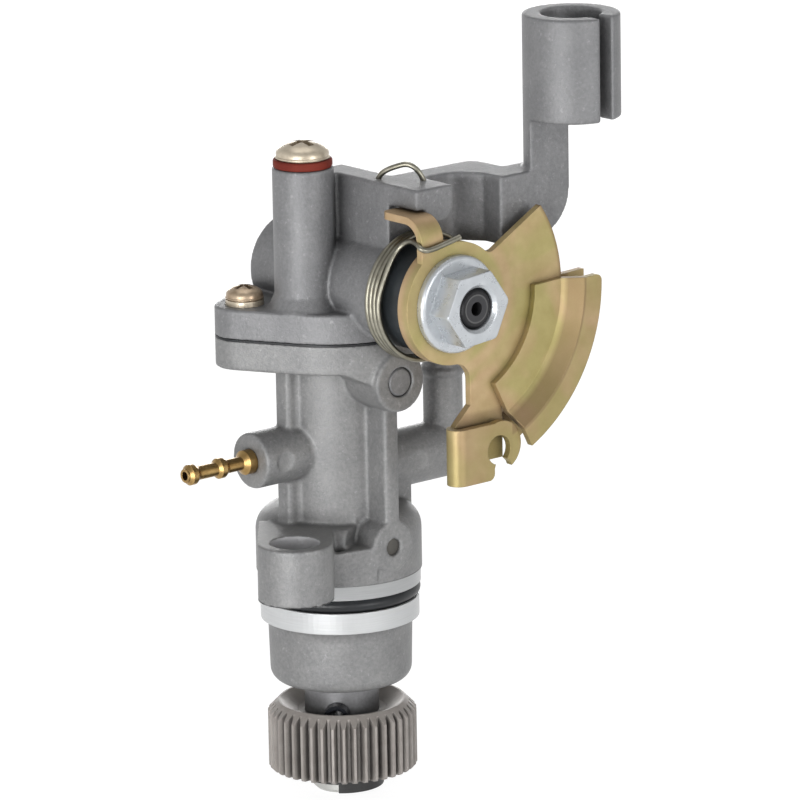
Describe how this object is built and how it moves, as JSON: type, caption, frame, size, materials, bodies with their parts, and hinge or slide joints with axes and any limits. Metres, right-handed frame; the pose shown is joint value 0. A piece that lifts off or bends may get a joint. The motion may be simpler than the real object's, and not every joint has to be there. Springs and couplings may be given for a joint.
{
  "type": "engine oil pump",
  "caption": "Mechanical two-stroke engine oil pump with O-ringed crankcase collar, toothed drive gear, outlet nipple and sprung quadrant control lever",
  "frame": {"origin": "on the pump axis, in the plane where the body seats on the crankcase", "axes": "+Z along the pump axis from the gear up to the cover; +X along the inlet strut, away from the outlet nipple; +Y along the lever shaft towards its hidden back end"},
  "size_m": [0.0596, 0.0471, 0.1167],
  "materials": {
    "pump_body": "fine sand-grained die casting with bright turned bands at the collar",
    "top_cover": "fine sand-grained die casting",
    "cover_gasket": "thin dark sheet",
    "cover_screws": "yellow zinc",
    "lock_washers": "yellow zinc",
    "bleed_screw": "yellow zinc",
    "bleed_washer": "brick red fibre",
    "collar_o_ring": "black",
    "oilway_plug": "dull",
    "guide_pin": "dull grey",
    "outlet_nipple": "turned",
    "drive_gear": "sintered, brown-grey",
    "drive_shaft": "ground",
    "drive_pin": "blacked",
    "thrust_washer": "plain",
    "shaft_circlip": "blacked",
    "shaft_seal": "black",
    "plunger": "ground",
    "plunger_sleeve": "ground",
    "plunger_spring": "bright wire",
    "check_ball": "polished",
    "check_spring": "bright wire",
    "control_shaft": "dark, drilled end",
    "control_seal": "black",
    "control_circlip": "blacked",
    "spring_bush": "dark grey",
    "return_spring": "pale zinc wire",
    "lever_plate": "gold chromate",
    "lever_channel": "gold chromate",
    "flange_nut": "bright zinc"
  },
  "bodies": {
    "housing": {"pump_body": "pump_body", "top_cover": "top_cover", "cover_gasket": "cover_gasket", "cover_screws": "cover_screws", "lock_washers": "lock_washers", "bleed_screw": "bleed_screw", "bleed_washer": "bleed_washer", "collar_o_ring": "collar_o_ring", "oilway_plug": "oilway_plug", "guide_pin": "guide_pin", "plunger_sleeve": "plunger_sleeve", "plunger_spring": "plunger_spring", "shaft_seal": "shaft_seal", "outlet_nipple": "outlet_nipple", "check_spring": "check_spring", "return_spring": "return_spring"},
    "drive": {"drive_gear": "drive_gear", "drive_shaft": "drive_shaft", "drive_pin": "drive_pin", "shaft_circlip": "shaft_circlip", "thrust_washer": "thrust_washer"},
    "plunger": {"plunger": "plunger"},
    "lever": {"lever_plate": "lever_plate", "lever_channel": "lever_channel", "flange_nut": "flange_nut", "control_shaft": "control_shaft", "control_seal": "control_seal", "spring_bush": "spring_bush", "control_circlip": "control_circlip"},
    "check_ball": {"check_ball": "check_ball"}
  },
  "joints": [
    {"name": "drive_spin", "type": "hinge", "parent": "housing", "child": "drive", "pos_m": [0, 0, 0], "axis": [0, 0, 1], "continuous": true},
    {"name": "plunger_stroke", "type": "slide", "parent": "drive", "child": "plunger", "axis": [0, 0, 1], "range_m": [0, 0.0012], "stiffness_N_per_m": 800, "springref_m": -0.002, "deforming": ["plunger_spring"]},
    {"name": "lever_swing", "type": "hinge", "parent": "housing", "child": "lever", "pos_m": [0, 0, 0.0442], "axis": [0, -1, 0], "range_deg": [0, 65], "stiffness_Nm_per_rad": 0.05, "springref_deg": -57.3, "deforming": ["return_spring"]},
    {"name": "check_ball_lift", "type": "slide", "parent": "housing", "child": "check_ball", "axis": [-1, 0, 0], "range_m": [0, 0.0006], "stiffness_N_per_m": 60, "springref_m": -0.002, "deforming": ["check_spring"]}
  ]
}
